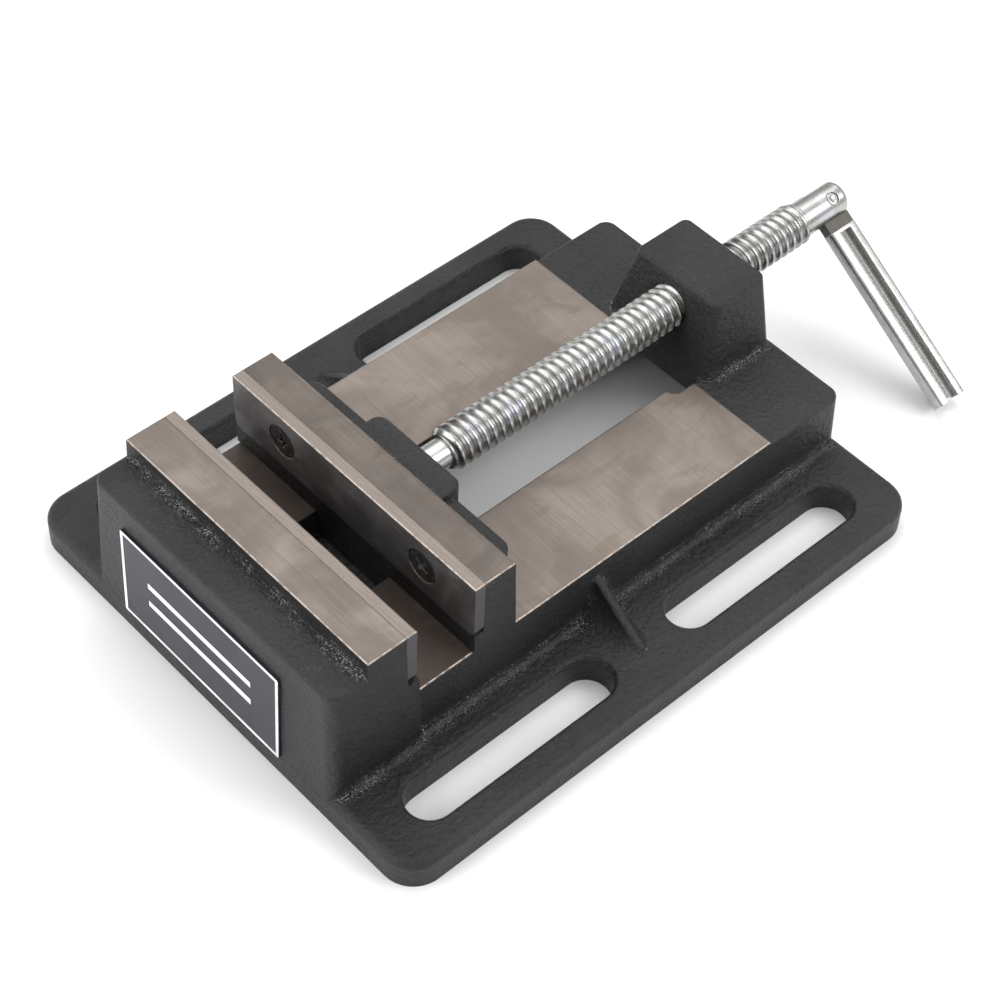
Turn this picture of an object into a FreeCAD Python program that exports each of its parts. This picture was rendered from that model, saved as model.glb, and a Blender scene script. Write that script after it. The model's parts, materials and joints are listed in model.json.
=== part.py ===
import FreeCAD, Part
import math
import os

V = FreeCAD.Vector
UP = V(0, 0, 1)
os.makedirs("parts", exist_ok=True)

# Row frame, millimetres: +X runs along the screw from the fixed jaw towards the crank,
# +Z is up, and the origin is the centre of the four slots on the underside of the base.

# ---- base flange and its slots
BASE_LENGTH = 195.0
BASE_WIDTH = 164.0
FLANGE_T = 10.0
FLANGE_CORNER_R = 10.0
FLANGE_EDGE_R = 2.5
SLOT_SPACING_X = 96.0
SLOT_SPACING_Y = 132.0
SLOT_WIDTH = 14.4
SLOT_LENGTH = 71.6
SLOT_RIM_R = 1.0
OVERCUT = 1.0

# ---- bed
BED_TOP = 29.5
BED_HALF_TOP = 49.3
BED_HALF_FOOT = 50.4
BED_FOOT_R = 2.5
BED_FOOT_Z = 2.0
FOOT_STRIP_REAR_X = 92.0
RAIL_GAP = 31.0
RAIL_T = 9.0
RAIL_END_X = 66.8
HOLLOW_FRONT_X = -76.0
HOLLOW_HALF = 42.5
HOLLOW_REAR_X = 91.0
HOLLOW_CORNER_R = 5.0
POCKET_X = (-90.0, -74.0)
POCKET_HALF = 41.0
POCKET_TOP = 34.0
POCKET_CORNER_R = 4.0
GAP_REAR_X = 70.0
GAP_RELIEF_HALF = 18.6
GAP_RELIEF_X = 58.5
GAP_RELIEF_CORNER_R = 3.0

# ---- rear cross member and nut block
CROSS_TOP = 28.8
CROSS_REAR_X = 97.0
CROSS_CORNER_R = 4.0
CROSS_EDGE_R = 1.2
NUT_TOP = 53.3
NUT_TOP_X = (74.9, 95.8)
NUT_FOOT_X = (69.6, 96.4)
NUT_TOP_HALF = 16.3
NUT_FOOT_HALF = 21.4
NUT_FOOT_Z = 27.0
NUT_CORNER_R = 2.6
NUT_EDGE_R = 1.4

# ---- gussets between the slots: (y, ridge height, half ridge, half foot) at the wall and at the toe
GUSSET_X = -1.5
GUSSET_WALL = (46.0, 27.6, 1.3, 7.0)
GUSSET_TOE = (69.0, 10.9, 1.5, 4.6)
GUSSET_RIDGE_RISE = 0.7
GUSSET_HOLLOW = 0.42

# ---- jaws
JAW_WIDTH = 100.0
JAW_TOP = 56.4
PLATE_T = 3.5
PLATE_BOTTOM = 36.6
PLATE_STEP = 0.1
PLATE_CORNER_R = 2.5
EDGE_BREAK = 0.32
HEAD_RECESS = 0.25
FIXED_FACE_X = -67.3
FIXED_TOP_FRONT_X = -83.6
SHOULDER_Z = 50.7
SHOULDER_FRONT_X = -95.8
SHOULDER_EDGE_R = 1.4
FRONT_LEAN_Z = 6.0
BLOCK_REAR_X = -67.0
BLOCK_HALF_TOP = 50.0
BLOCK_HALF_FOOT = 52.2
BLOCK_CORNER_R = 4.0
BLOCK_STRIP_FRONT_X = -92.0
MOVING_FACE_X = -47.5
MOVING_TOP_REAR_X = -33.6
MOVING_FOOT_REAR_X = -32.4
SHELF_REAR_X = -25.5
SHELF_HALF = 41.0
SHELF_TOP = 48.0
SHELF_CORNER_R = 4.0
SHELF_EDGE_R = 1.0
BOSS_REAR_X = -22.2
BOSS_HALF = 17.3
BOSS_TOP = 51.0
BOSS_CORNER_R = 3.5
BOSS_EDGE_R = 1.2
SCREW_HOLE_Y = 29.0
SCREW_HOLE_Z = 46.8

# ---- jaw plate screws (M6 countersunk)
CSK_HEAD_R = 5.2
CSK_HEAD_DEPTH = 2.9
CSK_SHANK_R = 3.0
CSK_LENGTH = 14.0
CSK_RIM = 0.35
CSK_RECESS_HALF = 2.7
CSK_RECESS_WEB = 0.65
CSK_RECESS_DEPTH = 1.9
HOLE_CLEARANCE = 0.2
HOLE_SPARE = 2.0
CLOSE_FIT = 0.02

# ---- guide tongue and keeper under the rails
TONGUE_HALF = 15.42
TONGUE_X = (-47.2, -24.0)
KEEPER_X = (-54.0, -24.0)
RUN_GAP_Z = 0.10
KEEPER_T = 5.0
KEEPER_HALF = 24.0
KEEPER_CORNER_R = 2.0
KEEPER_HOLE_R = 3.3
BOLT_X = -36.0
BOLT_Y = 9.5
BOLT_R = 3.0
BOLT_HEAD_AF = 10.0
BOLT_HEAD_T = 4.0
BOLT_HEAD_CHAMFER = 0.7
BOLT_REACH = 12.0
WASHER_T = 1.6
WASHER_OUTER_R = 5.9
WASHER_INNER_R = 3.2
WASHER_SPLIT = 1.0

# ---- lead screw
SCREW_Z = 43.0
PITCH = 3.0
THREAD_MAJOR_R = 6.75
THREAD_MINOR_R = 5.25
THREAD_X = (-14.3, 128.0)
THREAD_ROOT_HALF = 1.17
THREAD_CREST_HALF = 0.42
THREAD_SUNK = 0.3
THREAD_RUN_OUT = 1.6
NUT_BORE_R = 6.85
NECK_R = 4.45
NECK_BORE_R = 4.52
TIP_X = -38.0
TIP_CHAMFER = 0.8
TIP_BORE_X = -38.6
GROOVE_X = -28.5
GROOVE_WIDTH = 3.2
GROOVE_R = 3.2
RETAIN_PIN_R = 1.5
RETAIN_PIN_Z = (24.0, 47.0)
RETAIN_PIN_Y = 4.75
RETAIN_PIN_CHAMFER = 0.3
TAIL_R = 5.6
TAIL_END_X = 145.5
TAIL_END_ROUND = 2.0

# ---- folding crank
HINGE_X = 139.5
HINGE_TILT = math.radians(56.5)
HINGE_PIN_R = 2.1
HINGE_PIN_HALF = 5.9
HINGE_PIN_END_R = 0.6
HINGE_BORE_R = 2.15
FORK_GAP = 3.8
FORK_FLOOR_X = 133.6
TANG_T = 3.6
TANG_WIDTH = 10.0
CRANK_WIDTH = 10.4
CRANK_HEIGHT = 4.8
CRANK_START = 8.9
CRANK_LENGTH = 70.6
CRANK_WALL = 2.9
CRANK_WEB = 1.4
CRANK_EDGE_R = 0.9
CRANK_END_WALL = 1.0

# ---- name plate
LABEL_WIDTH = 67.0
LABEL_HEIGHT = 33.0
LABEL_T = 0.8
LABEL_CENTRE_Y = 3.5
LABEL_CENTRE_Z = 24.5
LABEL_CORNER_R = 0.6
LABEL_GLUE = 0.02


def box(x0, x1, y0, y1, z0, z1):
    return Part.makeBox(x1 - x0, y1 - y0, z1 - z0, V(x0, y0, z0))


def cylinder(radius, start, direction, length):
    return Part.makeCylinder(radius, length, start, direction)


def polygon(points):
    return Part.Face(Part.makePolygon(points + [points[0]]))


def rounded_rectangle(x0, x1, y0, y1, z, radius):
    """Plan outline with four round corners, as a face."""
    corners = [(x1, y1, 1, 1), (x0, y1, -1, 1), (x0, y0, -1, -1), (x1, y0, 1, -1)]
    edges = []
    ends = []
    s = radius * (1 - math.sqrt(0.5))
    for number, (x, y, sx, sy) in enumerate(corners):
        along_x = V(x - sx * radius, y, z)
        along_y = V(x, y - sy * radius, z)
        middle = V(x - sx * s, y - sy * s, z)
        first, last = (along_y, along_x) if number % 2 == 0 else (along_x, along_y)
        edges.append(Part.Arc(first, middle, last).toShape())
        ends.append((first, last))
    for number in range(4):
        start = ends[number][1]
        stop = ends[(number + 1) % 4][0]
        edges.append(Part.makeLine(start, stop))
    return Part.Face(Part.Wire(Part.__sortEdges__(edges)))


def edges_where(shape, test):
    return [edge for edge in shape.Edges if test(edge)]


def is_vertical(edge):
    if len(edge.Vertexes) != 2:
        return False
    a, b = edge.Vertexes[0].Point, edge.Vertexes[1].Point
    return abs(a.z - b.z) > 0.9 * edge.Length


def at_height(edge, z):
    return all(abs(v.Point.z - z) < 1e-4 for v in edge.Vertexes)


def slotted_hole(x, y, rim_r):
    """Cutter for one full-radius slot with a rounded upper rim."""
    r = SLOT_WIDTH / 2
    half = SLOT_LENGTH / 2
    cutter = rounded_rectangle(x - half, x + half, y - r, y + r, -OVERCUT, r - 1e-4)
    cutter = cutter.extrude(V(0, 0, FLANGE_T + 2 * OVERCUT))
    flare = rounded_rectangle(x - half - rim_r, x + half + rim_r, y - r - rim_r, y + r + rim_r,
                              FLANGE_T - rim_r, r + rim_r - 1e-4)
    flare = flare.extrude(V(0, 0, 2 * rim_r))
    lower = edges_where(flare, lambda e: at_height(e, FLANGE_T - rim_r))
    flare = flare.makeChamfer(rim_r * 0.98, lower)
    return cutter.fuse(flare)


def flange():
    half_x, half_y = BASE_LENGTH / 2, BASE_WIDTH / 2
    face = rounded_rectangle(-half_x, half_x, -half_y, half_y, 0, FLANGE_CORNER_R)
    plate = face.extrude(V(0, 0, FLANGE_T))
    return plate.makeFillet(FLANGE_EDGE_R, edges_where(plate, lambda e: at_height(e, FLANGE_T)))


def break_top(shape, z, x_low, x_high):
    """Small chamfer on the top edges at height z whose middles lie between x_low and x_high."""
    edges = edges_where(shape, lambda e: at_height(e, z) and x_low < e.CenterOfMass.x < x_high)
    return shape.makeChamfer(EDGE_BREAK, edges)


def drafted_block(side_points, half_foot, half_top, z_foot, z_top, z_cut):
    """Solid whose X-Z outline is side_points and whose two flanks lean in from foot to top."""
    side = polygon([V(x, -70, z) for x, z in side_points]).extrude(V(0, 140, 0))
    flanks = [(-half_foot, z_foot), (half_foot, z_foot), (half_top, z_top)]
    if z_cut > z_top:
        flanks += [(half_top, z_cut), (-half_top, z_cut)]
    flanks.append((-half_top, z_top))
    across = polygon([V(-120, y, z) for y, z in flanks]).extrude(V(240, 0, 0))
    return side.common(across)


def foot_strip(x0, x1, side, wall):
    """Concave fillet along the foot of a flank that meets the flange at y = side * wall."""
    r = BED_FOOT_R
    z = FLANGE_T - 0.15
    mid = r * (1 - math.sqrt(0.5))
    inner = side * (wall - 2)
    a, b = V(x0, side * wall, z + r), V(x0, side * (wall + r), z)
    arc = Part.Arc(a, V(x0, side * (wall + mid), z + mid), b).toShape()
    rest = Part.makePolygon([b, V(x0, b.y, z - 2), V(x0, inner, z - 2), V(x0, inner, z + r), a])
    return Part.Face(Part.Wire([arc] + rest.Edges)).extrude(V(x1 - x0, 0, 0))


def bed():
    """Rails and rear cross member, with the fillets along both feet."""
    low = BED_FOOT_Z
    rails = drafted_block([(BLOCK_REAR_X - 4, low), (RAIL_END_X, low), (RAIL_END_X, BED_TOP),
                           (BLOCK_REAR_X - 4, BED_TOP)], BED_HALF_FOOT, BED_HALF_TOP, low, BED_TOP, 0)
    rails = break_top(rails, BED_TOP, BLOCK_REAR_X, RAIL_END_X - 1)
    half_top = BED_HALF_TOP + (BED_HALF_FOOT - BED_HALF_TOP) * (BED_TOP - CROSS_TOP) / (BED_TOP - low)
    cross = drafted_block([(RAIL_END_X - 6, low), (BASE_LENGTH / 2, low), (BASE_LENGTH / 2, FLANGE_T - 4),
                           (CROSS_REAR_X, CROSS_TOP), (RAIL_END_X - 6, CROSS_TOP)],
                          BED_HALF_FOOT, half_top, low, CROSS_TOP, 0)
    rear = edges_where(cross, lambda e: is_vertical(e) and e.CenterOfMass.x > CROSS_REAR_X - 0.1
                       and e.Length > 10)
    cross = cross.makeFillet(CROSS_CORNER_R, rear)
    rim = edges_where(cross, lambda e: at_height(e, CROSS_TOP) and e.CenterOfMass.x > RAIL_END_X)
    cross = cross.makeFillet(CROSS_EDGE_R, rim)
    body = rails.fuse(cross)
    for side in (1, -1):
        wall = BED_HALF_FOOT - 0.3
        body = body.fuse(foot_strip(BLOCK_REAR_X - 1, FOOT_STRIP_REAR_X, side, wall))
    return body


def fixed_block():
    seat_x = FIXED_FACE_X - PLATE_T
    block = drafted_block([(-BASE_LENGTH / 2, 1), (-BASE_LENGTH / 2, FRONT_LEAN_Z),
                           (SHOULDER_FRONT_X, SHOULDER_Z),
                           (FIXED_TOP_FRONT_X - 0.3, SHOULDER_Z), (FIXED_TOP_FRONT_X, JAW_TOP),
                           (seat_x, JAW_TOP), (seat_x, PLATE_BOTTOM - PLATE_STEP),
                           (BLOCK_REAR_X, PLATE_BOTTOM - PLATE_STEP), (BLOCK_REAR_X, 1)],
                          BLOCK_HALF_FOOT, BLOCK_HALF_TOP, 1, SHOULDER_Z, JAW_TOP + 1)
    corners = edges_where(block, lambda e: is_vertical(e) and e.CenterOfMass.x < SHOULDER_FRONT_X + 0.5
                          and e.Length > 20)
    block = block.makeFillet(BLOCK_CORNER_R, corners)
    shoulder = edges_where(block, lambda e: at_height(e, SHOULDER_Z)
                           and e.CenterOfMass.x < FIXED_TOP_FRONT_X - 1)
    block = block.makeFillet(SHOULDER_EDGE_R, shoulder)
    block = break_top(block, JAW_TOP, -BASE_LENGTH, seat_x - 0.1)
    for side in (1, -1):
        block = block.fuse(foot_strip(BLOCK_STRIP_FRONT_X, BLOCK_REAR_X, side, BLOCK_HALF_FOOT - 0.6))
    return block


def nut_block():
    outlines = []
    for (x0, x1), half, z in ((NUT_FOOT_X, NUT_FOOT_HALF, NUT_FOOT_Z), (NUT_TOP_X, NUT_TOP_HALF, NUT_TOP)):
        outlines.append(Part.makePolygon([V(x0, -half, z), V(x1, -half, z), V(x1, half, z), V(x0, half, z),
                                          V(x0, -half, z)]))
    block = Part.makeLoft(outlines, True, True)
    block = block.makeFillet(NUT_CORNER_R, edges_where(block, is_vertical))
    return block.makeFillet(NUT_EDGE_R, edges_where(block, lambda e: at_height(e, NUT_TOP)))


def gusset_outline(side, y, ridge_z, half_ridge, half_foot):
    """Round ridge on hollow flanks, drawn across the rib at distance y from the centre line."""
    foot_z = FLANGE_T - 0.2
    neck_z = ridge_z - GUSSET_RIDGE_RISE

    def point(x, z):
        return V(GUSSET_X + x, side * y, z)

    def flank(x_sign):
        mid_x = (half_foot + half_ridge) / 2
        mid_z = (foot_z + neck_z) / 2
        mid_x -= GUSSET_HOLLOW * (mid_x - half_ridge)
        mid_z -= GUSSET_HOLLOW * (mid_z - foot_z)
        return point(x_sign * mid_x, mid_z)

    foot_left, foot_right = point(-half_foot, foot_z), point(half_foot, foot_z)
    neck_left, neck_right = point(-half_ridge, neck_z), point(half_ridge, neck_z)
    low_left, low_right = point(-half_foot, FLANGE_T - 1), point(half_foot, FLANGE_T - 1)
    edges = [Part.makeLine(low_left, foot_left),
             Part.Arc(foot_left, flank(-1), neck_left).toShape(),
             Part.Arc(neck_left, point(0, ridge_z), neck_right).toShape(),
             Part.Arc(neck_right, flank(1), foot_right).toShape(),
             Part.makeLine(foot_right, low_right),
             Part.makeLine(low_right, low_left)]
    return Part.Wire(edges)


def gusset(side):
    """Rounded rib that runs straight down from the bed wall to the flange."""
    outlines = [gusset_outline(side, *GUSSET_WALL), gusset_outline(side, *GUSSET_TOE)]
    return Part.makeLoft(outlines, True, True)


def base_casting():
    body = flange()
    for added in (bed(), fixed_block(), nut_block(), gusset(1), gusset(-1)):
        body = body.fuse(added)
    body = body.removeSplitter()
    cuts = []
    for sx in (-1, 1):
        for sy in (-1, 1):
            cuts.append(slotted_hole(sx * SLOT_SPACING_X / 2, sy * SLOT_SPACING_Y / 2, SLOT_RIM_R))
    under = BED_TOP - RAIL_T
    hollow = rounded_rectangle(HOLLOW_FRONT_X, HOLLOW_REAR_X, -HOLLOW_HALF, HOLLOW_HALF, -OVERCUT,
                               HOLLOW_CORNER_R)
    cuts.append(hollow.extrude(V(0, 0, under + OVERCUT)))
    pocket = rounded_rectangle(POCKET_X[0], POCKET_X[1], -POCKET_HALF, POCKET_HALF, -OVERCUT, POCKET_CORNER_R)
    cuts.append(pocket.extrude(V(0, 0, POCKET_TOP + OVERCUT)))
    gap_half = RAIL_GAP / 2
    cuts.append(box(BLOCK_REAR_X, GAP_REAR_X - GAP_RELIEF_CORNER_R, -gap_half, gap_half, -OVERCUT,
                    BED_TOP + OVERCUT))
    relief = rounded_rectangle(GAP_RELIEF_X, GAP_REAR_X, -GAP_RELIEF_HALF, gap_half, under - OVERCUT,
                               GAP_RELIEF_CORNER_R)
    cuts.append(relief.extrude(V(0, 0, RAIL_T + 1.05 * OVERCUT)))
    for side in (-1, 1):
        start = V(FIXED_FACE_X - PLATE_T, side * SCREW_HOLE_Y, SCREW_HOLE_Z)
        cuts.append(cylinder(CSK_SHANK_R + CLOSE_FIT, start, V(-1, 0, 0), CSK_LENGTH - PLATE_T + HOLE_SPARE))
    nut_front = NUT_FOOT_X[0] - 5
    cuts.append(cylinder(NUT_BORE_R, V(nut_front, 0, SCREW_Z), V(1, 0, 0), BASE_LENGTH / 2 - nut_front))
    for cutter in cuts:
        body = body.cut(cutter)
    return body


def name_plate():
    lean = math.atan2(SHOULDER_FRONT_X + BASE_LENGTH / 2, SHOULDER_Z - FRONT_LEAN_Z)
    plate = box(-LABEL_T, 0, -LABEL_WIDTH / 2, LABEL_WIDTH / 2, -LABEL_HEIGHT / 2, LABEL_HEIGHT / 2)
    plate = plate.makeFillet(LABEL_CORNER_R, edges_where(plate, lambda e: abs(e.Length - LABEL_T) < 1e-6))
    plate.rotate(V(0, 0, 0), V(0, 1, 0), math.degrees(lean))
    x = -BASE_LENGTH / 2 + math.tan(lean) * (LABEL_CENTRE_Z - FRONT_LEAN_Z) - LABEL_GLUE
    plate.translate(V(x, LABEL_CENTRE_Y, LABEL_CENTRE_Z))
    return plate


def jaw_plate(face_x, back_direction):
    """Hardened plate whose gripping face lies at face_x and whose back is PLATE_T behind it."""
    x0, x1 = sorted((face_x, face_x + back_direction * PLATE_T))
    half = JAW_WIDTH / 2
    plate = box(x0, x1, -half, half, PLATE_BOTTOM, JAW_TOP)
    rounded = edges_where(plate, lambda e: abs(e.Length - PLATE_T) < 1e-6
                          and e.CenterOfMass.z < PLATE_BOTTOM + 1)
    plate = plate.makeFillet(PLATE_CORNER_R, rounded)
    grip_side = sorted((face_x - back_direction, face_x + back_direction * (PLATE_T - 0.1)))
    plate = break_top(plate, JAW_TOP, grip_side[0], grip_side[1])
    for side in (-1, 1):
        centre = V(face_x, side * SCREW_HOLE_Y, SCREW_HOLE_Z)
        seat = centre + V(back_direction * HEAD_RECESS, 0, 0)
        plate = plate.cut(screw_envelope(seat, back_direction, HOLE_CLEARANCE))
    return plate


def screw_envelope(centre, direction, clearance):
    axis = V(direction, 0, 0)
    head_r = CSK_HEAD_R + clearance
    shank_r = CSK_SHANK_R + clearance
    rim = cylinder(head_r, centre - axis, axis, 1 + CSK_RIM)
    cone = Part.makeCone(head_r, shank_r, CSK_HEAD_DEPTH - CSK_RIM, centre + axis * CSK_RIM, axis)
    shank = cylinder(shank_r, centre, axis, PLATE_T + 1)
    return rim.fuse([cone, shank])


def plate_screw(face_x, direction, y):
    """Countersunk screw with a cross recess, head just below the plate face."""
    axis = V(direction, 0, 0)
    centre = V(face_x, y, SCREW_HOLE_Z) + axis * HEAD_RECESS
    rim = cylinder(CSK_HEAD_R, centre, axis, CSK_RIM)
    cone = Part.makeCone(CSK_HEAD_R, CSK_SHANK_R, CSK_HEAD_DEPTH - CSK_RIM, centre + axis * CSK_RIM, axis)
    shank = cylinder(CSK_SHANK_R, centre, axis, CSK_LENGTH)
    screw = rim.fuse([cone, shank])
    x0, x1 = sorted((centre.x - direction, centre.x + direction * CSK_RECESS_DEPTH))
    blade = (CSK_RECESS_HALF, CSK_RECESS_WEB)
    for half_y, half_z in (blade, blade[::-1]):
        screw = screw.cut(box(x0, x1, y - half_y, y + half_y, SCREW_HOLE_Z - half_z, SCREW_HOLE_Z + half_z))
    return screw


def moving_jaw():
    half = JAW_WIDTH / 2
    back = MOVING_FACE_X + PLATE_T
    front = MOVING_FACE_X + 0.3
    foot = BED_TOP + RUN_GAP_Z
    step = PLATE_BOTTOM - PLATE_STEP
    outline = [(front, foot), (front, step), (back, step), (back, JAW_TOP),
               (MOVING_TOP_REAR_X, JAW_TOP), (MOVING_FOOT_REAR_X, foot)]
    body = polygon([V(x, -half, z) for x, z in outline]).extrude(V(0, 2 * half, 0))
    body = break_top(body, JAW_TOP, back + 0.1, 0)
    shelf = rounded_rectangle(MOVING_TOP_REAR_X - 8, SHELF_REAR_X, -SHELF_HALF, SHELF_HALF, foot,
                              SHELF_CORNER_R)
    shelf = shelf.extrude(V(0, 0, SHELF_TOP - foot))
    shelf = shelf.makeFillet(SHELF_EDGE_R, edges_where(shelf, lambda e: at_height(e, SHELF_TOP)))
    boss = rounded_rectangle(MOVING_TOP_REAR_X - 8, BOSS_REAR_X, -BOSS_HALF, BOSS_HALF, foot, BOSS_CORNER_R)
    boss = boss.extrude(V(0, 0, BOSS_TOP - foot))
    boss = boss.makeFillet(BOSS_EDGE_R, edges_where(boss, lambda e: at_height(e, BOSS_TOP)))
    under = BED_TOP - RAIL_T - RUN_GAP_Z
    tongue = box(TONGUE_X[0], TONGUE_X[1], -TONGUE_HALF, TONGUE_HALF, under, foot + 2)
    jaw = body.fuse([shelf, boss, tongue]).removeSplitter()
    mouth = V(BOSS_REAR_X + 1, 0, SCREW_Z)
    cuts = [cylinder(NECK_BORE_R, mouth, V(-1, 0, 0), mouth.x - TIP_BORE_X)]
    for sign in (-1, 1):
        hole = V(GROOVE_X, sign * RETAIN_PIN_Y, under - 1)
        cuts.append(cylinder(RETAIN_PIN_R + CLOSE_FIT / 2, hole, UP, RETAIN_PIN_Z[1] - under + 1))
        hole = V(BOLT_X, sign * BOLT_Y, under - 1)
        cuts.append(cylinder(BOLT_R + CLOSE_FIT, hole, UP, BOLT_REACH + HOLE_SPARE))
        start = V(back, sign * SCREW_HOLE_Y, SCREW_HOLE_Z)
        cuts.append(cylinder(CSK_SHANK_R + CLOSE_FIT, start, V(1, 0, 0), CSK_LENGTH - PLATE_T + HOLE_SPARE))
    for cutter in cuts:
        jaw = jaw.cut(cutter)
    return jaw


def keeper_plate():
    top = BED_TOP - RAIL_T - RUN_GAP_Z
    plate = rounded_rectangle(KEEPER_X[0], KEEPER_X[1], -KEEPER_HALF, KEEPER_HALF, top - KEEPER_T,
                              KEEPER_CORNER_R)
    plate = plate.extrude(V(0, 0, KEEPER_T))
    for sign in (-1, 1):
        start = V(BOLT_X, sign * BOLT_Y, top - KEEPER_T - 1)
        plate = plate.cut(cylinder(KEEPER_HOLE_R, start, UP, KEEPER_T + 2))
    return plate


def keeper_washer(sign):
    z = BED_TOP - RAIL_T - RUN_GAP_Z - KEEPER_T - WASHER_T
    ring = cylinder(WASHER_OUTER_R, V(BOLT_X, sign * BOLT_Y, z), UP, WASHER_T)
    ring = ring.cut(cylinder(WASHER_INNER_R, V(BOLT_X, sign * BOLT_Y, z - 1), UP, WASHER_T + 2))
    y = sign * BOLT_Y
    split = box(BOLT_X - 8, BOLT_X, y - WASHER_SPLIT / 2, y + WASHER_SPLIT / 2, z - 1, z + WASHER_T + 1)
    return ring.cut(split)


def keeper_bolt(sign):
    """Hexagon-head bolt driven up through the washer and keeper into the tongue."""
    z = BED_TOP - RAIL_T - RUN_GAP_Z - KEEPER_T - WASHER_T
    centre = V(BOLT_X, sign * BOLT_Y, z - BOLT_HEAD_T)
    corner_r = BOLT_HEAD_AF / math.sqrt(3)
    corners = []
    for i in range(6):
        angle = math.radians(60 * i)
        corners.append(centre + V(corner_r * math.cos(angle), corner_r * math.sin(angle), 0))
    head = polygon(corners).extrude(V(0, 0, BOLT_HEAD_T))
    rim_r = corner_r - BOLT_HEAD_CHAMFER
    cone = Part.makeCone(rim_r, rim_r + BOLT_HEAD_T, BOLT_HEAD_T, centre, UP)
    head = head.common(cone)
    length = BOLT_HEAD_T + WASHER_T + KEEPER_T + BOLT_REACH
    return head.fuse(cylinder(BOLT_R, centre, UP, length)).removeSplitter()


def retaining_pin(sign):
    start = V(GROOVE_X, sign * RETAIN_PIN_Y, RETAIN_PIN_Z[0])
    pin = cylinder(RETAIN_PIN_R, start, UP, RETAIN_PIN_Z[1] - RETAIN_PIN_Z[0])
    rims = edges_where(pin, lambda e: len(e.Vertexes) == 1)
    return pin.makeChamfer(RETAIN_PIN_CHAMFER, rims)


def thread_ridge(start_x, end_x, root_r, crest_r):
    """One continuous right-hand trapezoidal ridge about the X axis, made along Z and turned."""
    height = end_x - start_x
    foot_r = root_r - THREAD_SUNK
    helix = Part.makeHelix(PITCH, height, foot_r)
    section = Part.makePolygon([V(foot_r, 0, -THREAD_ROOT_HALF), V(crest_r, 0, -THREAD_CREST_HALF),
                                V(crest_r, 0, THREAD_CREST_HALF), V(foot_r, 0, THREAD_ROOT_HALF),
                                V(foot_r, 0, -THREAD_ROOT_HALF)])
    pipe = Part.BRepOffsetAPI.MakePipeShell(Part.Wire(helix.Edges))
    pipe.setFrenetMode(True)
    pipe.add(section)
    pipe.build()
    pipe.makeSolid()
    ridge = pipe.shape()
    ridge.rotate(V(0, 0, 0), V(0, 1, 0), 90)
    ridge.translate(V(start_x, 0, SCREW_Z))
    return ridge


def hinge_axis():
    """Direction of the crank's hinge pin, square to the screw."""
    return V(0, -math.cos(HINGE_TILT), math.sin(HINGE_TILT))


def crank_direction():
    return V(0, -math.sin(HINGE_TILT), -math.cos(HINGE_TILT))


def along(origin, axis_x, axis_y, axis_z):
    """Placement matrix that carries local x, y, z onto three given directions."""
    m = FreeCAD.Matrix(axis_x.x, axis_y.x, axis_z.x, origin.x,
                       axis_x.y, axis_y.y, axis_z.y, origin.y,
                       axis_x.z, axis_y.z, axis_z.z, origin.z,
                       0, 0, 0, 1)
    return FreeCAD.Placement(m)


def hinge_placement():
    """Local x = along the screw, y = against the crank, z = along the hinge pin."""
    return along(V(HINGE_X, 0, SCREW_Z), V(1, 0, 0), crank_direction() * -1, hinge_axis())


def lead_screw():
    axis = V(1, 0, 0)
    neck = cylinder(NECK_R, V(TIP_X, 0, SCREW_Z), axis, THREAD_X[0] - TIP_X + 1)
    neck = neck.makeChamfer(TIP_CHAMFER, edges_where(neck, lambda e: abs(e.CenterOfMass.x - TIP_X) < 0.01))
    groove_start = V(GROOVE_X - GROOVE_WIDTH / 2, 0, SCREW_Z)
    groove_outer = cylinder(NECK_R + 1, groove_start, axis, GROOVE_WIDTH)
    groove_inner = cylinder(GROOVE_R, groove_start - axis, axis, GROOVE_WIDTH + 2)
    neck = neck.cut(groove_outer.cut(groove_inner))
    core = cylinder(THREAD_MINOR_R, V(THREAD_X[0], 0, SCREW_Z), axis, THREAD_X[1] - THREAD_X[0])
    ridge = thread_ridge(THREAD_X[0] - PITCH, THREAD_X[1] + PITCH, THREAD_MINOR_R, THREAD_MAJOR_R)
    limit = cylinder(THREAD_MAJOR_R + 1, V(THREAD_X[0], 0, SCREW_Z), axis, THREAD_X[1] - THREAD_X[0])
    limit = limit.makeChamfer(THREAD_RUN_OUT, edges_where(limit, lambda e: len(e.Vertexes) == 1))
    ridge = ridge.common(limit)
    tail = cylinder(TAIL_R, V(THREAD_X[1] - 1, 0, SCREW_Z), axis, TAIL_END_X - THREAD_X[1] + 1)
    end_rim = edges_where(tail, lambda e: abs(e.CenterOfMass.x - TAIL_END_X) < 0.01)
    tail = tail.makeFillet(TAIL_END_ROUND, end_rim)
    place = hinge_placement()
    fork = box(FORK_FLOOR_X - HINGE_X, 20, -10, 10, -FORK_GAP / 2, FORK_GAP / 2)
    fork.Placement = place
    bore = Part.makeCylinder(HINGE_BORE_R, 20, V(0, 0, -10), UP)
    bore.Placement = place
    return neck.fuse([core, tail]).fuse(ridge).cut([fork, bore])


def crank_hinge_pin():
    pin = Part.makeCylinder(HINGE_PIN_R, 2 * HINGE_PIN_HALF, V(0, 0, -HINGE_PIN_HALF), UP)
    rims = edges_where(pin, lambda e: abs(abs(e.CenterOfMass.z) - HINGE_PIN_HALF) < 0.01)
    pin = pin.makeFillet(HINGE_PIN_END_R, rims)
    pin.Placement = hinge_placement()
    return pin


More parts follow.
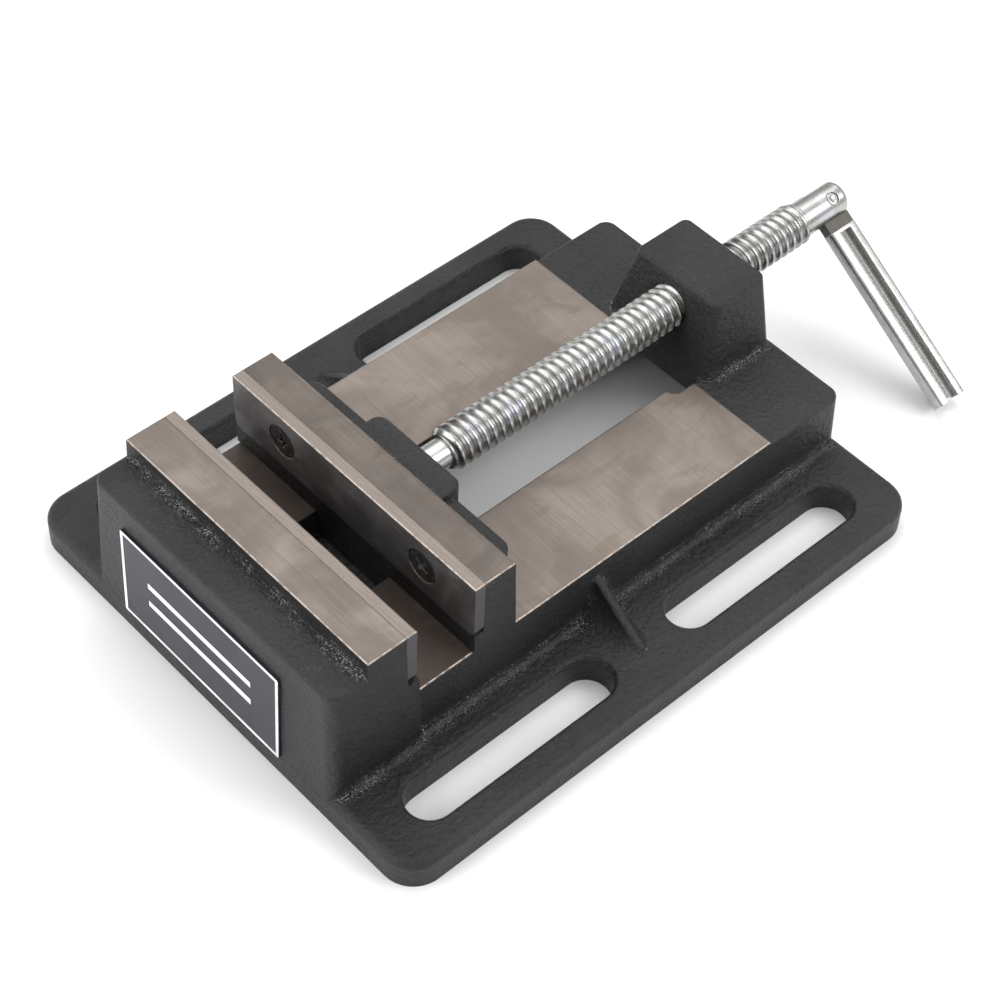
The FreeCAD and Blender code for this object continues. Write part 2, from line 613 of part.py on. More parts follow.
def crank_handle():
    """Flat tang round the hinge pin, then an open channel; local y runs against the crank."""
    half = CRANK_WIDTH / 2
    top = CRANK_HEIGHT / 2
    tang = Part.makeCylinder(TANG_WIDTH / 2, TANG_T, V(0, 0, -TANG_T / 2), UP)
    groove_start = -CRANK_START - CRANK_END_WALL
    tang = tang.fuse(box(-TANG_WIDTH / 2, TANG_WIDTH / 2, groove_start, 0, -TANG_T / 2, TANG_T / 2))
    channel = box(-half, half, -CRANK_LENGTH, -CRANK_START, -top, top)
    long_edges = edges_where(channel, lambda e: abs(e.Length - CRANK_LENGTH + CRANK_START) < 1e-6)
    channel = channel.makeFillet(CRANK_EDGE_R, long_edges)
    groove = box(-half + CRANK_WALL, half - CRANK_WALL, -CRANK_LENGTH - 1, groove_start,
                 -top + CRANK_WEB, top + 1)
    handle = tang.fuse(channel.cut(groove)).removeSplitter()
    handle = handle.cut(Part.makeCylinder(HINGE_BORE_R, 20, V(0, 0, -10), UP))
    handle.Placement = hinge_placement()
    return handle


def write(node, shape):
    if not shape.isValid():
        print("WARNING invalid", node)
    solids = shape.Solids
    if len(solids) != 1:
        print("WARNING", node, "has", len(solids), "solids")
    solids[0].exportStep(os.path.join("parts", node + ".step"))
    b = shape.BoundBox
    print("%-26s vol %9.1f  x %.1f..%.1f  y %.1f..%.1f  z %.1f..%.1f"
          % (node, shape.Volume, b.XMin, b.XMax, b.YMin, b.YMax, b.ZMin, b.ZMax))


write("base_casting", base_casting())
write("name_plate", name_plate())
write("fixed_jaw_plate", jaw_plate(FIXED_FACE_X, -1))
write("moving_jaw", moving_jaw())
write("moving_jaw_plate", jaw_plate(MOVING_FACE_X, 1))
write("keeper_plate", keeper_plate())
for label, sign in (("left", 1), ("right", -1)):
    write("fixed_plate_screw_" + label, plate_screw(FIXED_FACE_X, -1, sign * SCREW_HOLE_Y))
    write("moving_plate_screw_" + label, plate_screw(MOVING_FACE_X, 1, sign * SCREW_HOLE_Y))
    write("keeper_bolt_" + label, keeper_bolt(sign))
    write("keeper_washer_" + label, keeper_washer(sign))
    write("retaining_pin_" + label, retaining_pin(sign))
write("lead_screw", lead_screw())
write("crank_hinge_pin", crank_hinge_pin())
write("crank_handle", crank_handle())
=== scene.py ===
import json
import math

import bmesh
import bpy
from bpy.props import FloatProperty, FloatVectorProperty, IntProperty, PointerProperty
from mathutils import Matrix, Vector


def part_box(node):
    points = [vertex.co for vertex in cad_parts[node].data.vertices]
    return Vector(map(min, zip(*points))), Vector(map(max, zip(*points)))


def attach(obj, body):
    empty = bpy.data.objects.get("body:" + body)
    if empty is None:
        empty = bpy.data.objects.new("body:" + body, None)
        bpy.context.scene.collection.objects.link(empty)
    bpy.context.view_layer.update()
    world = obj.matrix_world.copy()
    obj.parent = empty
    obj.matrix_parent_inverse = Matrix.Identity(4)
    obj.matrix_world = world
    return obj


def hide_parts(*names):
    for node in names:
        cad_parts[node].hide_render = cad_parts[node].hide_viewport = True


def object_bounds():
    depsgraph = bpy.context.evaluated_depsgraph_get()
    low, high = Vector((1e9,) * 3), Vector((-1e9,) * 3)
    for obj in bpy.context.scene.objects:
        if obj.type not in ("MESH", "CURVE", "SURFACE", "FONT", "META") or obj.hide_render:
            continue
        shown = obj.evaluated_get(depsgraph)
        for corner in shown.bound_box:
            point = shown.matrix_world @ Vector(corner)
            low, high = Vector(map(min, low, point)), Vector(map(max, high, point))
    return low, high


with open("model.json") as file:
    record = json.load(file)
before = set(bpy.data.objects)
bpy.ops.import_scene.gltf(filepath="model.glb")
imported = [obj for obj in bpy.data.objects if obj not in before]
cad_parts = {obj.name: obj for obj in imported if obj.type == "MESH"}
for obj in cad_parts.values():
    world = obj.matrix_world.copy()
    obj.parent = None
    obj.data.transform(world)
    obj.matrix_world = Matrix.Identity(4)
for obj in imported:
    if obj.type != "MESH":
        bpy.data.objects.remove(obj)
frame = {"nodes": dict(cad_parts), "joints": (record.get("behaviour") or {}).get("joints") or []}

bl_info = {
    "name": "Machine Vise Looks",
    "version": (1, 0, 0),
    "blender": (4, 5, 0),
    "location": "3D View > Sidebar > Vise",
    "description": "Finishes the castings and models the screw, crank, plate screws and label of a vise",
    "category": "Object",
}

MM = 0.001
CAD_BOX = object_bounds()
SCREW_LOW, SCREW_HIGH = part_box("lead_screw")
LABEL_LOW, LABEL_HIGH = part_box("name_plate")
HINGE = next(joint for joint in frame["joints"] if joint["name"] == "crank_fold")
SCREW_JOINT = next(joint for joint in frame["joints"] if joint["name"] == "screw_turn")
AXIS_Z = SCREW_JOINT["pos_m"][2]
JAW_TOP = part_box("moving_jaw")[1].z
RAIL_TOP = 29.5 * MM
RAIL_REAR_X = 66.8 * MM
UPRIGHT = Matrix.Rotation(-math.pi / 2, 4, "Y")
BORE_REACH = 10 * MM
PIN_FACETS = 32
BAR_FACETS = 56


# ---------------------------------------------------------------- sizes and colours a user may change

def length(name, description, default):
    return FloatProperty(name=name, description=description, default=default, min=0.0,
                         subtype="DISTANCE", unit="LENGTH", precision=5)


def colour(name, description, default):
    return FloatVectorProperty(name=name, description=description, default=default, size=3,
                               min=0.0, max=1.0, subtype="COLOR")


class ViseFinishes(bpy.types.PropertyGroup):
    paint: colour("Casting paint", "Black paint on the rough castings", (0.0145, 0.0145, 0.0145))
    bare_iron: colour("Bare iron", "Milled tops of the rails and jaws", (0.208, 0.177, 0.155))
    plate_face: colour("Plate face", "Oxide-dark gripping faces of the jaw plates", (0.088, 0.083, 0.080))
    zinc: colour("Zinc", "Plated screw, crank and pin", (0.47, 0.47, 0.455))
    painted_shade: colour("Grime", "Old oil on the rails by the fixed jaw", (0.052, 0.036, 0.028))
    # Painted shade: this dark brown laid on the rails between the jaws stands for the shade there.
    oxide: colour("Black oxide", "Plate screws, keeper bolts and washers", (0.085, 0.083, 0.082))
    label_field: colour("Label field", "Dark enamel of the name plate", (0.026, 0.026, 0.037))
    label_border: colour("Label border", "Light outline of the name plate", (0.80, 0.79, 0.84))
    floor: colour("Floor", "Plain pale floor", (0.90, 0.90, 0.90))


class ScrewSizes(bpy.types.PropertyGroup):
    pitch: length("Pitch", "Travel of the jaw for one turn", 3.0 * MM)
    crest_radius: length("Crest radius", "Outside radius of the thread", 6.75 * MM)
    root_radius: length("Root radius", "Radius at the bottom of the thread", 5.3 * MM)
    thread_run_out: length("Run-out", "Length of the thread's sloping ends", 1.6 * MM)
    neck_radius: length("Neck radius", "Plain neck that turns in the moving jaw", 4.45 * MM)
    tail_radius: length("Tail radius", "Plain tail that carries the crank", 5.6 * MM)
    steps: IntProperty(name="Steps", description="Straight steps in one turn of the thread", default=40,
                       min=12)


class CrankSizes(bpy.types.PropertyGroup):
    width: length("Width", "Across the two walls of the channel", 10.4 * MM)
    height: length("Height", "Depth of the channel's walls", 4.8 * MM)
    wall: length("Wall", "Thickness of each wall", 2.9 * MM)
    web: length("Web", "Thickness under the groove", 1.4 * MM)
    start: length("Start", "From the hinge to the start of the channel", 8.9 * MM)
    reach: length("Reach", "From the hinge to the end of the channel", 70.6 * MM)
    end_wall: length("End wall", "Thickness that closes the groove beside the tang", 1.0 * MM)
    tang_width: length("Tang width", "Flat end round the hinge pin", 10.0 * MM)
    tang_thickness: length("Tang thickness", "Thickness of the flat end", 3.6 * MM)
    pin_radius: length("Pin radius", "Radius of the hinge pin", 2.1 * MM)


class PlateScrewSizes(bpy.types.PropertyGroup):
    head_radius: length("Head radius", "Outside of the countersunk head", 5.2 * MM)
    shank_radius: length("Shank radius", "Radius of the shank", 3.0 * MM)
    head_depth: length("Head depth", "From the top of the head to the shank", 2.9 * MM)
    length: length("Length", "Whole length of the screw", 14.0 * MM)
    recess: length("Recess", "Tip to tip of the cross recess", 5.8 * MM)


class LabelSizes(bpy.types.PropertyGroup):
    width: length("Width", "Along the front of the fixed jaw", 67.0 * MM)
    height: length("Height", "Up the front of the fixed jaw", 33.0 * MM)
    thickness: length("Thickness", "Thickness of the plate", 0.8 * MM)
    border: length("Border", "Width of the light outline", 1.15 * MM)
    corner: length("Corner", "Radius of the plate's corners", 0.6 * MM)
    bar_length: length("Bar length", "Length of the two light bars", 44.0 * MM)
    bar_height: length("Bar height", "Height of each light bar", 2.2 * MM)
    bar_spread: length("Bar spread", "From the middle of the plate to each bar", 3.6 * MM)
    lean: FloatProperty(name="Lean", description="How far the jaw's front leans back", default=0.03804,
                        subtype="ANGLE", unit="ROTATION")


# ---------------------------------------------------------------- modelling helpers

def deselect_all():
    if bpy.context.mode != "OBJECT":
        bpy.ops.object.mode_set(mode="OBJECT")
    bpy.ops.object.select_all(action="DESELECT")


def take(piece):
    """Make one object the only selected and the active one."""
    deselect_all()
    piece.select_set(True)
    bpy.context.view_layer.objects.active = piece


def named(name):
    """Name the primitive that was just added and open it in edit mode, with nothing selected."""
    piece = bpy.context.active_object
    piece.name = name
    piece.data.name = name
    bpy.ops.object.mode_set(mode="EDIT")
    bpy.ops.mesh.select_all(action="DESELECT")
    return piece


def pick_faces(test):
    """Select the faces whose centre and normal pass the test."""
    bpy.ops.mesh.select_mode(type="FACE")
    bpy.ops.mesh.select_all(action="DESELECT")
    mesh = bmesh.from_edit_mesh(bpy.context.edit_object.data)
    for face in mesh.faces:
        face.select_set(bool(test(face.calc_center_median(), face.normal)))
    bmesh.update_edit_mesh(bpy.context.edit_object.data)


def pick_edges(test):
    """Select the edges whose two ends pass the test."""
    bpy.ops.mesh.select_mode(type="EDGE")
    bpy.ops.mesh.select_all(action="DESELECT")
    mesh = bmesh.from_edit_mesh(bpy.context.edit_object.data)
    for edge in mesh.edges:
        edge.select_set(bool(test(edge.verts[0].co, edge.verts[1].co)))
    bmesh.update_edit_mesh(bpy.context.edit_object.data)


def place(piece, matrix=None):
    """Move the piece's place into its mesh, so that its object sits at the origin."""
    deselect_all()
    move = piece.matrix_world.copy()
    if matrix is not None:
        move = matrix @ move
    piece.data.transform(move)
    piece.matrix_world = Matrix.Identity(4)
    return piece


def combine(piece, tool, operation):
    """Apply an exact boolean with the tool, then remove the tool."""
    take(piece)
    boolean = piece.modifiers.new("combine", "BOOLEAN")
    boolean.object = tool
    boolean.operation = operation
    boolean.solver = "EXACT"
    bpy.ops.object.modifier_apply(modifier=boolean.name)
    bpy.data.objects.remove(tool)
    return piece


def block(name, centre, size):
    """A box placed in its mesh, left in object mode."""
    deselect_all()
    bpy.ops.mesh.primitive_cube_add(size=1, location=centre, scale=size)
    piece = named(name)
    return place(piece)


def open_block(name, centre, size):
    """A box placed in its mesh, left in edit mode."""
    piece = block(name, centre, size)
    take(piece)
    bpy.ops.object.mode_set(mode="EDIT")
    return piece


def turned_bar(name, stations, facets):
    """A round bar along X through (x, radius) stations, drawn out of its first end face."""
    deselect_all()
    x, radius = stations[0]
    bpy.ops.mesh.primitive_circle_add(vertices=facets, radius=radius, fill_type="NGON",
                                      location=(x, 0, 0), rotation=(0, math.pi / 2, 0))
    piece = named(name)
    bpy.ops.mesh.select_mode(type="FACE")
    bpy.ops.mesh.select_all(action="SELECT")
    for next_x, next_radius in stations[1:]:
        step = (next_x - x, 0, 0)
        share = next_radius / radius
        bpy.ops.mesh.extrude_region_move(TRANSFORM_OT_translate={"value": step})
        bpy.ops.transform.resize(value=(1, share, share), center_override=(next_x, 0, 0))
        x, radius = next_x, next_radius
    bpy.ops.mesh.select_all(action="SELECT")
    bpy.ops.mesh.normals_make_consistent(inside=False)
    return place(piece)


def smooth(piece, degrees=35):
    take(piece)
    bpy.ops.object.shade_smooth_by_angle(angle=math.radians(degrees))
    deselect_all()


def tidy_faces(piece):
    """Merge doubled points and turn every face outwards."""
    take(piece)
    bpy.ops.object.mode_set(mode="EDIT")
    bpy.ops.mesh.select_all(action="SELECT")
    bpy.ops.mesh.remove_doubles(threshold=1e-7)
    bpy.ops.mesh.normals_make_consistent(inside=False)
    deselect_all()


def finish_piece(piece, node, body, slot, *materials):
    """Give a new piece its finish and its body, and hide the node that it stands for. The slot argument is
    not used.
    """
    piece.data.materials.clear()
    for material in materials:
        piece.data.materials.append(material)
    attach(piece, body)
    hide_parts(node)


def dress(node, material):
    """Put one finish on a node of the frame."""
    piece = frame["nodes"][node]
    piece.data.materials.clear()
    piece.data.materials.append(material)


def aimed(origin, axis_x, axis_y, axis_z):
    """Matrix that carries local x, y and z onto three directions from an origin."""
    matrix = Matrix((axis_x, axis_y, axis_z)).transposed().to_4x4()
    matrix.translation = origin
    return matrix


def hinge_frame():
    """Local x along the screw, local y against the crank, local z along the hinge pin."""
    pin = Vector(HINGE["axis"])
    along = Vector((1, 0, 0))
    return aimed(Vector(HINGE["pos_m"]), along, pin.cross(along), pin)


def hinge_bore(name, radius):
    """Cutter for a hole on the hinge pin's axis, along local z."""
    return place(turned_bar(name, [(-BORE_REACH, radius), (BORE_REACH, radius)], PIN_FACETS), UPRIGHT)


def crank_way():
    """Direction from the hinge to the free end of the crank."""
    return -(hinge_frame().col[1].to_3d())


# ---------------------------------------------------------------- material helpers

def opaque(tone):
    """A socket as it is, or a colour with full alpha."""
    return tone if isinstance(tone, bpy.types.NodeSocket) else (*tone, 1.0)


class Tree:
    """The nodes of one material. Places are millimetres in Object coordinates, bump heights are metres."""

    def __init__(self, name):
        self.material = bpy.data.materials.new(name)
        self.material.use_nodes = True
        self.nodes = self.material.node_tree.nodes
        self.links = self.material.node_tree.links
        self.nodes.clear()
        where = self.node("ShaderNodeTexCoord")
        self.mm = self.vector("SCALE", where.outputs["Object"], scale=1000.0)
        self.geometry = self.node("ShaderNodeNewGeometry")

    def put(self, socket, value):
        if isinstance(value, bpy.types.NodeSocket):
            self.links.new(value, socket)
        else:
            socket.default_value = value

    def node(self, kind, inputs=None, **settings):
        made = self.nodes.new(kind)
        for name, value in settings.items():
            setattr(made, name, value)
        for name, value in (inputs or {}).items():
            self.put(made.inputs[name], value)
        return made

    def math(self, operation, a, b=0.0):
        return self.node("ShaderNodeMath", {0: a, 1: b}, operation=operation).outputs[0]

    def vector(self, operation, a, b=None, scale=None):
        made = self.node("ShaderNodeVectorMath", {0: a}, operation=operation)
        if b is not None:
            self.put(made.inputs[1], b)
        if scale is not None:
            self.put(made.inputs["Scale"], scale)
        return made.outputs["Value"] if operation in ("DOT_PRODUCT", "LENGTH") else made.outputs[0]

    def parts(self, vector):
        return self.node("ShaderNodeSeparateXYZ", {0: vector}).outputs

    def noise(self, scale, detail=3.0, rough=0.55, stretch=None, twist=0.0):
        """Noise from 0 to 1 whose features are about 1/scale millimetres."""
        where = self.mm if stretch is None else self.vector("MULTIPLY", self.mm, stretch)
        made = self.node("ShaderNodeTexNoise", {"Vector": where, "Scale": scale, "Detail": detail,
                                                "Roughness": rough, "Distortion": twist})
        return made.outputs[0]

    def span(self, value, low, high, to_low=0.0, to_high=1.0):
        """Map low..high smoothly to to_low..to_high, held at both ends."""
        made = self.node("ShaderNodeMapRange", {"Value": value, "From Min": low, "From Max": high,
                                                "To Min": to_low, "To Max": to_high},
                         interpolation_type="SMOOTHSTEP")
        return made.outputs[0]

    def mix(self, share, a, b):
        made = self.node("ShaderNodeMix", {0: share, 2: a, 3: b})
        return made.outputs[0]

    def tint(self, share, a, b):
        made = self.node("ShaderNodeMix", data_type="RGBA")
        self.put(made.inputs[0], share)
        self.put(made.inputs[6], opaque(a))
        self.put(made.inputs[7], opaque(b))
        return made.outputs[2]

    def both(self, share, first, second):
        """Mix two finishes, each (colour, metal, roughness, height in metres)."""
        return (self.tint(share, first[0], second[0]), self.mix(share, first[1], second[1]),
                self.mix(share, first[2], second[2]), self.mix(share, first[3], second[3]))

    def rounded_normal(self, radius):
        return self.node("ShaderNodeBevel", {"Radius": radius}, samples=6).outputs[0]

    def edges(self, rounded, low, high):
        """1 on sharp edges, 0 on flats."""
        level = self.vector("DOT_PRODUCT", rounded, self.geometry.outputs["True Normal"])
        return self.span(self.math("SUBTRACT", 1.0, level), low, high)

    def hollows(self, reach, low, high):
        """1 deep in the piece's own inside corners, 0 on open faces."""
        made = self.node("ShaderNodeAmbientOcclusion", {"Distance": reach}, samples=8, only_local=True)
        return self.span(made.outputs["AO"], low, high, 1.0, 0.0)

    def close(self, finish, rounded=None, specular=0.5):
        """Drive the shader from a finish and return the material."""
        tone, metal, rough, height = finish
        bump = self.node("ShaderNodeBump", {"Strength": 1.0, "Distance": 1.0, "Height": height})
        if rounded is not None:
            self.put(bump.inputs["Normal"], rounded)
        shader = self.node("ShaderNodeBsdfPrincipled", {"Roughness": rough, "Metallic": metal,
                                                        "Specular IOR Level": specular,
                                                        "Normal": bump.outputs[0]})
        self.put(shader.inputs["Base Color"], opaque(tone))
        output = self.node("ShaderNodeOutputMaterial", {"Surface": shader.outputs[0]})
        output.is_active_output = True
        return self.material


def shade_of(tone, factor):
    return tuple(min(1.0, channel * factor) for channel in tone)


# ---------------------------------------------------------------- finishes

def painted_iron(tree, paint, corners):
    """Thick black paint over sand-cast iron, with pale specks in its inside corners as a painted highlight
    for glints on the fillets.
    """
    lumps = tree.noise(0.62, 2.0, 0.55)
    grain = tree.noise(2.4, 2.0, 0.6)
    drift = tree.noise(0.035, 2.0, 0.5)
    tone = tree.tint(tree.span(drift, 0.35, 0.65), shade_of(paint, 0.8), shade_of(paint, 1.3))
    # Painted highlight: the paint turns lighter on the raised grain, standing for glints on its small lumps.
    tone = tree.tint(tree.span(grain, 0.52, 0.70, 0.0, 0.6), tone, shade_of(paint, 2.4))
    # Painted highlight: pale specks in the inside corners stand for glints on the fillets.
    fillet_glints = tree.span(tree.noise(1.9, 2.0, 0.65), 0.54, 0.62)
    patches = tree.span(tree.noise(0.10, 2.0, 0.6), 0.40, 0.56, 0.12, 1.0)
    fillet_glints = tree.math("MULTIPLY", tree.math("MULTIPLY", fillet_glints, patches), corners)
    tone = tree.tint(fillet_glints, tone, (0.36, 0.36, 0.36))
    specks = tree.span(tree.noise(1.25, 2.0, 0.5), 0.70, 0.74)
    tone = tree.tint(tree.math("MULTIPLY", specks, 0.5), tone, (0.12, 0.12, 0.12))
    rough = tree.span(grain, 0.3, 0.7, 0.34, 0.56)
    height = tree.math("ADD", tree.math("MULTIPLY", lumps, 0.00056), tree.math("MULTIPLY", grain, 0.00022))
    return tone, 0.0, rough, height


def milled_iron(tree, bare):
    """Bare iron with fine crosswise mill marks, soft stains and small dark pits."""
    marks = tree.noise(1.0, 2.0, 0.5, stretch=(3.4, 0.05, 3.4))
    fine = tree.noise(4.2, 2.0, 0.6)
    stain = tree.noise(0.032, 3.0, 0.62, twist=0.8)
    smear = tree.noise(0.16, 2.0, 0.6, stretch=(0.5, 1.6, 1.0))
    pits = tree.span(tree.noise(1.9, 1.0, 0.5), 0.735, 0.765)
    tone = tree.tint(tree.span(stain, 0.36, 0.66), shade_of(bare, 0.78), shade_of(bare, 1.16))
    rust = (bare[0] * 0.80, bare[1] * 0.72, bare[2] * 0.64)
    tone = tree.tint(tree.span(smear, 0.52, 0.72, 0.0, 0.5), tone, rust)
    tone = tree.tint(tree.span(marks, 0.30, 0.70, 0.0, 0.22), tone, shade_of(bare, 0.72))
    tone = tree.tint(tree.span(fine, 0.58, 0.75, 0.0, 0.38), tone, shade_of(bare, 0.45))
    tone = tree.tint(tree.math("MULTIPLY", pits, 0.65), tone, shade_of(bare, 0.2))
    rough = tree.span(marks, 0.3, 0.7, 0.42, 0.54)
    height = tree.math("ADD", tree.math("MULTIPLY", marks, 0.000018), tree.math("MULTIPLY", fine, 0.000014))
    height = tree.math("SUBTRACT", height, tree.math("MULTIPLY", pits, 0.00003))
    return tone, 0.70, rough, height


def edge_wear_and_glint(tree, bare):
    """Bright metal: real wear where an edge has been rubbed, and a painted highlight where it stands for
    glints on painted edges.
    """
    return shade_of(bare, 1.9), 0.75, 0.42, 0.0


def casting(name, finishes, is_bare, bare_iron, painted_shade=None):
    """Painted casting whose milled faces, picked by is_bare(tree), are bare iron, darkened where the shade
    mask passed in lays painted shade on them.
    """
    tree = Tree(name)
    rounded = tree.rounded_normal(0.7 * MM)
    bare = is_bare(tree)
    # Inside corners, where the painted glints on the fillets go.
    corners = tree.hollows(6.0 * MM, 0.62, 0.86)
    iron = milled_iron(tree, bare_iron)
    if painted_shade is not None:
        # Painted shade: the bare iron turns dark brown where the shade mask says.
        iron = tree.both(painted_shade(tree), iron, (tuple(finishes.painted_shade), 0.25, 0.5, iron[3]))
    surface = tree.both(bare, painted_iron(tree, finishes.paint, corners), iron)
    # Painted highlight: bright specks along all edges of the casting stand for glints on the rounded paint.
    edge_glints = tree.span(tree.noise(1.1, 3.0, 0.7), 0.55, 0.63)
    edge_glints = tree.math("MULTIPLY", edge_glints, tree.edges(rounded, 0.03, 0.16))
    broken = tree.span(tree.noise(0.45, 3.0, 0.65), 0.36, 0.56, 0.25, 1.0)
    # Painted highlights on the edges, and real wear on the chamfers round the milled faces.
    rub = tree.math("MAXIMUM", tree.math("MULTIPLY", edge_glints, 0.5),
                    tree.math("MULTIPLY", tree.math("MULTIPLY", bevelled(tree), bare), broken))
    surface = tree.both(rub, surface, edge_wear_and_glint(tree, finishes.bare_iron))
    return tree.close(surface, rounded, specular=0.36)


def upward(tree):
    return tree.parts(tree.geometry.outputs["True Normal"])["Z"]


def bevelled(tree):
    """1 on the small chamfers round a milled face."""
    return tree.math("LESS_THAN", upward(tree), 0.95)


def faces_up(tree):
    """1 on level faces and on the chamfers round them."""
    return tree.math("GREATER_THAN", upward(tree), 0.5)


def compare(tree, value, target, reach):
    made = tree.node("ShaderNodeMath", {0: value, 1: target, 2: reach}, operation="COMPARE")
    return made.outputs[0]


def bare_on_base(tree):
    x, _, z = tree.parts(tree.mm)
    rails = compare(tree, z, RAIL_TOP / MM, 0.75)
    rails = tree.math("MULTIPLY", rails, tree.math("LESS_THAN", x, RAIL_REAR_X / MM + 0.05))
    jaw = tree.math("GREATER_THAN", z, JAW_TOP / MM - 0.75)
    return tree.math("MULTIPLY", tree.math("MAXIMUM", rails, jaw), faces_up(tree))


def painted_shade_on_bed(tree):
    """Painted shade on the rails beside the fixed jaw, with a dark patch by the screw's neck."""
    x = tree.parts(tree.mm)["X"]
    cloud = tree.noise(0.14, 3.0, 0.65, twist=0.6)
    low = compare(tree, tree.parts(tree.mm)["Z"], RAIL_TOP / MM, 0.75)
    # Painted shade, darkest by the fixed jaw and fading out towards the moving jaw.
    stain = tree.span(tree.math("ADD", x, tree.math("MULTIPLY", cloud, 18.0)), -42.0, -25.0, 0.9, 0.0)
    away = tree.vector("SUBTRACT", tree.mm, (-17.0, 19.0, 29.5))
    away = tree.vector("LENGTH", tree.vector("MULTIPLY", away, (0.6, 1.0, 0.0)))
    neck_patch = tree.math("MULTIPLY", tree.span(away, 2.0, 7.0, 0.9, 0.0), tree.span(cloud, 0.42, 0.62))
    return tree.math("MULTIPLY", tree.math("MAXIMUM", stain, neck_patch), low)


def bare_on_jaw(tree):
    z = tree.parts(tree.mm)["Z"]
    return tree.math("MULTIPLY", tree.math("GREATER_THAN", z, JAW_TOP / MM - 0.75), faces_up(tree))


def plate_steel(finishes):
    """Jaw plate: light ground top, oxide-dark faces with handling scratches, grey sawn ends."""
    tree = Tree("plate_steel")
    rounded = tree.rounded_normal(0.35 * MM)
    normal = tree.parts(tree.geometry.outputs["True Normal"])
    grind = tree.noise(1.0, 2.0, 0.5, stretch=(4.0, 0.12, 4.0))
    pits = tree.span(tree.noise(1.7, 1.0, 0.5), 0.68, 0.74)
    top = tree.tint(tree.span(grind, 0.3, 0.7), shade_of(finishes.bare_iron, 0.92),
                    shade_of(finishes.bare_iron, 1.14))
    top = tree.tint(tree.math("MULTIPLY", pits, 0.6), top, shade_of(finishes.bare_iron, 0.35))
    patch = tree.noise(0.06, 3.0, 0.6, twist=0.8)
    face = tree.tint(tree.span(patch, 0.35, 0.7), shade_of(finishes.plate_face, 0.75),
                     shade_of(finishes.plate_face, 1.5))
    scratch = tree.span(tree.noise(1.0, 1.0, 0.5, stretch=(0.5, 0.06, 3.4), twist=0.4), 0.64, 0.70)
    face = tree.tint(tree.math("MULTIPLY", scratch, 0.4), face, (0.34, 0.32, 0.33))
    ends = tree.math("GREATER_THAN", tree.math("ABSOLUTE", normal["Y"]), 0.6)
    side = tree.tint(ends, face, (0.075, 0.072, 0.077))
    up = faces_up(tree)
    tone = tree.tint(up, side, top)
    rough = tree.mix(up, tree.span(patch, 0.3, 0.7, 0.34, 0.5), 0.46)
    surface = (tone, tree.mix(up, 0.35, 0.72), rough, tree.math("MULTIPLY", grind, 0.00001))
    broken = tree.span(tree.noise(0.6, 3.0, 0.65), 0.36, 0.56, 0.2, 1.0)
    rub = tree.math("MULTIPLY", tree.math("MULTIPLY", bevelled(tree), up), broken)
    surface = tree.both(rub, surface, edge_wear_and_glint(tree, finishes.bare_iron))
    return tree.close(surface, rounded)


def oxide_steel(finishes):
    """Black oxide that has rubbed through on the edges."""
    tree = Tree("oxide_steel")
    rounded = tree.rounded_normal(0.2 * MM)
    cloud = tree.noise(0.5, 3.0, 0.6)
    grain = tree.noise(4.0, 2.0, 0.6)
    tone = tree.tint(tree.span(cloud, 0.35, 0.7), shade_of(finishes.oxide, 0.7),
                     shade_of(finishes.oxide, 1.5))
    rub = tree.math("MULTIPLY", tree.edges(rounded, 0.02, 0.2), tree.span(cloud, 0.3, 0.6, 0.3, 0.9))
    surface = (tone, 0.85, tree.span(grain, 0.3, 0.7, 0.30, 0.48), tree.math("MULTIPLY", grain, 0.00001))
    surface = tree.both(rub, surface, ((0.45, 0.43, 0.42), 0.9, 0.3, 0.0))
    return tree.close(surface, rounded)


def zinc_plate(name, finishes, darkening=None):
    """Bright zinc with soft clouding; the mask passed in lays a dark brown on it: painted shade on the
    crank's tang, and a darker tone towards the bottom of the thread.
    """
    tree = Tree(name)
    rounded = tree.rounded_normal(0.3 * MM)
    cloud = tree.noise(0.22, 3.0, 0.6, twist=0.5)
    grain = tree.noise(3.0, 3.0, 0.65)
    tone = tree.tint(tree.span(cloud, 0.35, 0.65), shade_of(finishes.zinc, 0.88), finishes.zinc)
    tone = tree.tint(tree.span(tree.noise(0.12, 2.0, 0.5), 0.55, 0.7, 0.0, 0.4), tone, (0.66, 0.68, 0.78))
    rough = tree.span(grain, 0.3, 0.7, 0.20, 0.36)
    height = tree.math("MULTIPLY", grain, 0.000012)
    surface = (tone, 1.0, rough, height)
    if darkening is not None:
        # Dark brown where the mask says: painted shade on the tang, a darker tone at the thread's roots.
        surface = tree.both(darkening(tree), surface, ((0.055, 0.047, 0.033), 0.5, 0.45, 0.0))
    return tree.close(surface, rounded)


def thread_roots(tree):
    """Darker tone that fades out from the bottom of the thread, in patches."""
    x, y, z = tree.parts(tree.mm)
    rise = tree.math("SUBTRACT", z, AXIS_Z / MM)
    square = tree.math("ADD", tree.math("MULTIPLY", y, y), tree.math("MULTIPLY", rise, rise))
    radius = tree.math("SQRT", square)
    deep = tree.span(radius, 5.3, 5.9, 0.5, 0.0)
    on_thread = tree.math("MULTIPLY", tree.math("GREATER_THAN", x, -14.0), tree.math("LESS_THAN", x, 127.0))
    patchy = tree.span(tree.noise(0.35, 2.0, 0.6), 0.25, 0.6, 0.55, 1.0)
    return tree.math("MULTIPLY", tree.math("MULTIPLY", deep, on_thread), patchy)


def tang_painted_shade(tree):
    """Painted shade on the crank's flat tang: a dark brown that ends where the channel starts."""
    along = tree.vector("SUBTRACT", tree.mm, tuple(Vector(HINGE["pos_m"]) / MM))
    away = tree.vector("DOT_PRODUCT", along, tuple(crank_way()))
    return tree.span(away, 8.7, 8.9, 0.9, 0.0)


